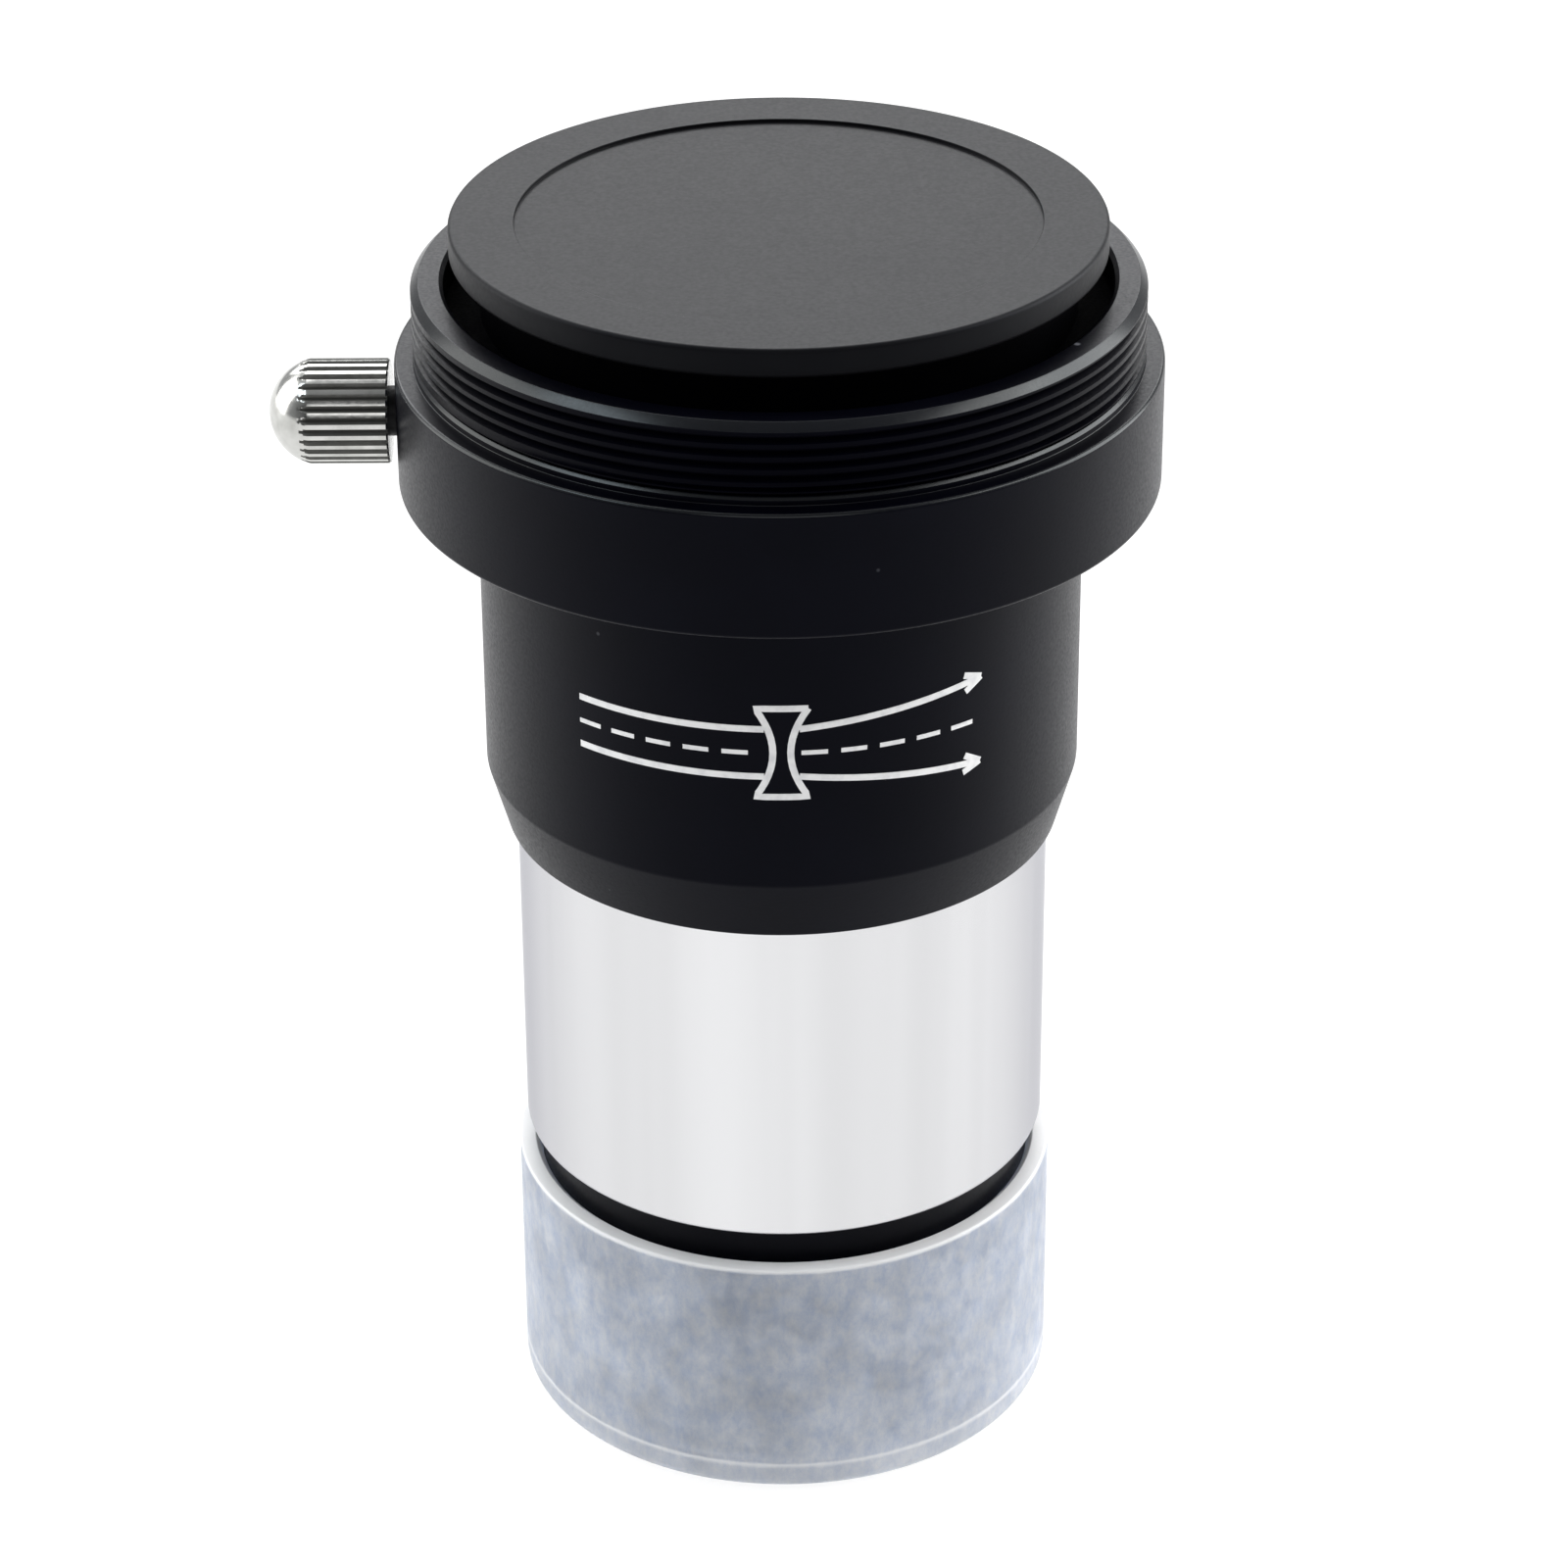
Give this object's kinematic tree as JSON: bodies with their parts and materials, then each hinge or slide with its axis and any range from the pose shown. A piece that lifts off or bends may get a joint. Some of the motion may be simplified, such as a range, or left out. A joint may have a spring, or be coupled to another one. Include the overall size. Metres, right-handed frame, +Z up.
{
  "type": "barlow lens",
  "caption": "Cylindrical barlow lens for a telescope focuser, with a camera thread, clamping thumbscrew, screw-in lens cell and dust caps.",
  "frame": {"origin": "centre of the flat foot of the bottom dust cap, on the optical axis", "axes": "+Z up the optical axis towards the eyepiece end; the thumbscrew points along -X"},
  "size_m": [0.0515, 0.0442, 0.0767],
  "materials": {
    "black_anodised_aluminium": "satin black anodised",
    "plated_nosepiece": "bright satin plated",
    "brass_band": "turned",
    "knob_plating": "bright plated",
    "black_steel": "black oxide",
    "nylon": "natural nylon",
    "baffle_black": "dead matt black",
    "coated_glass": "anti-reflection coated",
    "black_cap_plastic": "fine satin moulded",
    "frosted_cap_plastic": "frosted translucent moulded"
  },
  "bodies": {
    "holder": {"eyepiece_holder": "black_anodised_aluminium", "nosepiece_barrel": "plated_nosepiece", "clamp_ring": "brass_band", "light_baffle": "baffle_black"},
    "screw_feed": {"thumbscrew_tip_pad": "nylon"},
    "thumbscrew": {"thumbscrew_knob": "knob_plating", "thumbscrew_stud": "black_steel"},
    "lens_feed": {"crown_lens": "coated_glass", "flint_lens": "coated_glass"},
    "cell": {"lens_cell": "black_anodised_aluminium", "lens_retaining_ring": "black_anodised_aluminium"},
    "top_cap": {"top_dust_cap": "black_cap_plastic"},
    "bottom_cap": {"bottom_dust_cap": "frosted_cap_plastic"}
  },
  "joints": [
    {"name": "thumbscrew_feed", "type": "slide", "parent": "holder", "child": "screw_feed", "axis": [-1, 0, 0], "range_m": [-0.0003, 0.0035]},
    {"name": "thumbscrew_turn", "type": "hinge", "parent": "screw_feed", "child": "thumbscrew", "pos_m": [-0.022, 0, 0.06473], "axis": [-1, 0, 0], "range_deg": [-217, 2521]},
    {"name": "cell_feed", "type": "slide", "parent": "holder", "child": "lens_feed", "axis": [0, 0, -1], "range_m": [0, 0.00421]},
    {"name": "cell_turn", "type": "hinge", "parent": "lens_feed", "child": "cell", "pos_m": [0, 0, 0.018], "axis": [0, 0, -1], "range_deg": [0, 2520]},
    {"name": "top_cap_pull", "type": "slide", "parent": "holder", "child": "top_cap", "axis": [0, 0, 1], "range_m": [0, 0.045]},
    {"name": "bottom_cap_pull", "type": "slide", "parent": "cell", "child": "bottom_cap", "axis": [0, 0, -1], "range_m": [0, 0.03]}
  ],
  "couplings": [
    {"joint": "thumbscrew_turn", "follows": "thumbscrew_feed", "rad_per_m": 12566},
    {"joint": "cell_feed", "follows": "cell_turn", "m_per_rad": 0.000095493}
  ]
}
